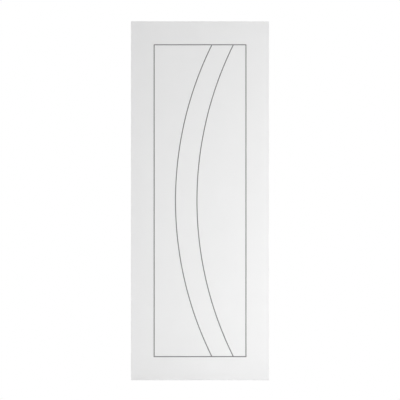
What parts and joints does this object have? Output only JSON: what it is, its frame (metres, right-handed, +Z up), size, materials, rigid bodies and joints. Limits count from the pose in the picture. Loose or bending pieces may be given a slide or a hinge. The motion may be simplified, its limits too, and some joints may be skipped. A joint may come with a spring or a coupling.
{
  "type": "solid core door leaf",
  "caption": "White primed solid core door leaf, with a grooved border line and bowed arc grooves inside it on each face.",
  "frame": {"origin": "on the hinge edge's face, at the middle of the leaf's thickness and at its bottom edge", "axes": "+X across the leaf from the hinge edge to the lock edge, +Y through it from the front face to the back face, +Z up"},
  "size_m": [0.762, 0.044, 1.981],
  "materials": {
    "primed_facing": "satin",
    "primed_lipping": "satin",
    "frame_timber": "matte",
    "core_board": "matte"
  },
  "bodies": {
    "root": {"front_facing": "primed_facing", "back_facing": "primed_facing", "hinge_edge_lipping": "primed_lipping", "lock_edge_lipping": "primed_lipping", "hinge_stile": "frame_timber", "lock_stile": "frame_timber", "top_rail": "frame_timber", "bottom_rail": "frame_timber", "core": "core_board"}
  },
  "joints": []
}
